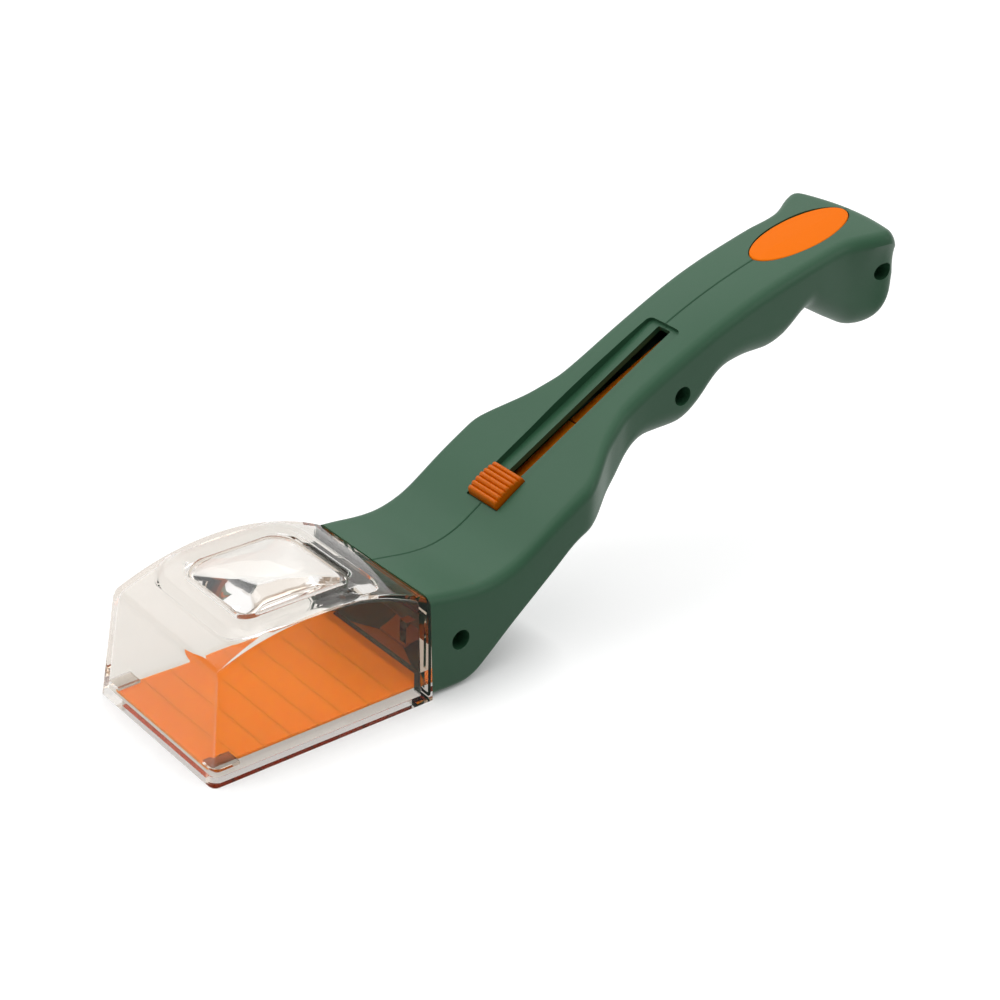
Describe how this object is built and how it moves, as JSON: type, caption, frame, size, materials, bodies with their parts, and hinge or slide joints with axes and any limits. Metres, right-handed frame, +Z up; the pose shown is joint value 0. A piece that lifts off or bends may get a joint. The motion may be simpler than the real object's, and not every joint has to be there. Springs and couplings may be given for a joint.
{
  "type": "bug catcher",
  "caption": "Clear arched bug box with a magnifying roof lens, a sliding sheet floor worked by a thumb slider, and a long hollow handle with finger grooves.",
  "frame": {"origin": "middle of the overall box, on the plane that the clear box stands on", "axes": "+X from the clear box to the end of the handle, +Y across the handle towards its left half, +Z up"},
  "size_m": [0.262, 0.0574, 0.0969],
  "materials": {
    "clear_box": "gloss",
    "lens": "gloss",
    "green_case": "satin",
    "orange_part": "satin",
    "orange_sheet": "gloss",
    "screw_steel": "satin"
  },
  "bodies": {
    "case": {"chamber_shell": "clear_box", "magnifier_lens": "lens", "handle_shell_right": "green_case", "handle_shell_left": "green_case", "case_screw_front": "screw_steel", "case_screw_middle": "screw_steel", "case_screw_rear": "screw_steel", "badge_insert": "orange_part"},
    "slider": {"thumb_slider": "orange_part", "slider_carrier": "green_case", "door_tail": "orange_sheet"},
    "plate_1": {"door_plate_1": "orange_sheet"},
    "plate_2": {"door_plate_2": "orange_sheet"},
    "plate_3": {"door_plate_3": "orange_sheet"},
    "plate_4": {"door_plate_4": "orange_sheet"},
    "plate_5": {"door_plate_5": "orange_sheet"},
    "plate_6": {"door_plate_6": "orange_sheet"},
    "plate_7": {"door_plate_7": "orange_sheet"},
    "plate_8": {"door_plate_8": "orange_sheet"},
    "tongue_1": {"door_tongue_1": "orange_sheet"},
    "tongue_2": {"door_tongue_2": "orange_sheet"},
    "tongue_3": {"door_tongue_3": "orange_sheet"},
    "tongue_4": {"door_tongue_4": "orange_sheet"},
    "tongue_5": {"door_tongue_5": "orange_sheet"},
    "tongue_6": {"door_tongue_6": "orange_sheet"},
    "tail_end": {"door_tail_end": "orange_sheet"}
  },
  "joints": [
    {"name": "thumb_slide", "type": "slide", "parent": "case", "child": "slider", "axis": [0.8704, 0, 0.4924], "range_m": [0, 0.065]},
    {"name": "plate_1_travel", "type": "slide", "parent": "case", "child": "plate_1", "axis": [1, 0, 0], "range_m": [0, 0.065]},
    {"name": "plate_2_travel", "type": "slide", "parent": "case", "child": "plate_2", "axis": [1, 0, 0.007], "range_m": [0, 0.065]},
    {"name": "plate_3_travel", "type": "hinge", "parent": "case", "child": "plate_3", "pos_m": [-0.10675, 0, 0.39462], "axis": [0, -1, 0], "range_deg": [0, 9.5]},
    {"name": "plate_4_travel", "type": "hinge", "parent": "case", "child": "plate_4", "pos_m": [-0.09527, 0, 0.18151], "axis": [0, -1, 0], "range_deg": [0, 20.81]},
    {"name": "plate_5_travel", "type": "hinge", "parent": "case", "child": "plate_5", "pos_m": [-0.08835, 0, 0.12489], "axis": [0, -1, 0], "range_deg": [0, 30.45]},
    {"name": "plate_6_travel", "type": "hinge", "parent": "case", "child": "plate_6", "pos_m": [-0.08253, 0, 0.09658], "axis": [0, -1, 0], "range_deg": [0, 39.63]},
    {"name": "plate_7_travel", "type": "hinge", "parent": "case", "child": "plate_7", "pos_m": [-0.07308, 0, 0.07847], "axis": [0, -1, 0], "range_deg": [0, 49.09]},
    {"name": "plate_8_travel", "type": "hinge", "parent": "case", "child": "plate_8", "pos_m": [-0.08546, 0, 0.09828], "axis": [0, -1, 0], "range_deg": [0, 38]},
    {"name": "tongue_1_travel", "type": "hinge", "parent": "case", "child": "tongue_1", "pos_m": [-0.14689, 0, 0.18202], "axis": [0, -1, 0], "range_deg": [0, 18.5]},
    {"name": "tongue_2_travel", "type": "hinge", "parent": "case", "child": "tongue_2", "pos_m": [0.42731, 0, -0.55846], "axis": [0, 1, 0], "range_deg": [0, 5.06]},
    {"name": "tongue_3_travel", "type": "hinge", "parent": "case", "child": "tongue_3", "pos_m": [0.09212, 0, -0.1308], "axis": [0, 1, 0], "range_deg": [0, 19.31]},
    {"name": "tongue_4_travel", "type": "hinge", "parent": "case", "child": "tongue_4", "pos_m": [0.13606, 0, -0.17394], "axis": [0, 1, 0], "range_deg": [0, 14.59]},
    {"name": "tongue_5_travel", "type": "hinge", "parent": "case", "child": "tongue_5", "pos_m": [0.12135, 0, -0.18188], "axis": [0, 1, 0], "range_deg": [0, 14.68]},
    {"name": "tongue_6_travel", "type": "hinge", "parent": "case", "child": "tongue_6", "pos_m": [0.35838, 0, -0.56414], "axis": [0, 1, 0], "range_deg": [0, 5.29]},
    {"name": "tail_end_travel", "type": "hinge", "parent": "case", "child": "tail_end", "pos_m": [0.11805, 0, -0.07893], "axis": [0, 1, 0], "range_deg": [0, 22.84]}
  ],
  "couplings": [
    {"joint": "plate_1_travel", "follows": "thumb_slide", "ratio": 1},
    {"joint": "plate_2_travel", "follows": "thumb_slide", "ratio": 1},
    {"joint": "plate_3_travel", "follows": "thumb_slide", "rad_per_m": 2.5509},
    {"joint": "plate_4_travel", "follows": "thumb_slide", "rad_per_m": 5.5885},
    {"joint": "plate_5_travel", "follows": "thumb_slide", "rad_per_m": 8.1765},
    {"joint": "plate_6_travel", "follows": "thumb_slide", "rad_per_m": 10.64},
    {"joint": "plate_7_travel", "follows": "thumb_slide", "rad_per_m": 13.18},
    {"joint": "plate_8_travel", "follows": "thumb_slide", "rad_per_m": 10.203},
    {"joint": "tongue_1_travel", "follows": "thumb_slide", "rad_per_m": 4.9675},
    {"joint": "tongue_2_travel", "follows": "thumb_slide", "rad_per_m": 1.3581},
    {"joint": "tongue_3_travel", "follows": "thumb_slide", "rad_per_m": 5.1847},
    {"joint": "tongue_4_travel", "follows": "thumb_slide", "rad_per_m": 3.9168},
    {"joint": "tongue_5_travel", "follows": "thumb_slide", "rad_per_m": 3.9401},
    {"joint": "tongue_6_travel", "follows": "thumb_slide", "rad_per_m": 1.4191},
    {"joint": "tail_end_travel", "follows": "thumb_slide", "rad_per_m": 6.1323}
  ]
}
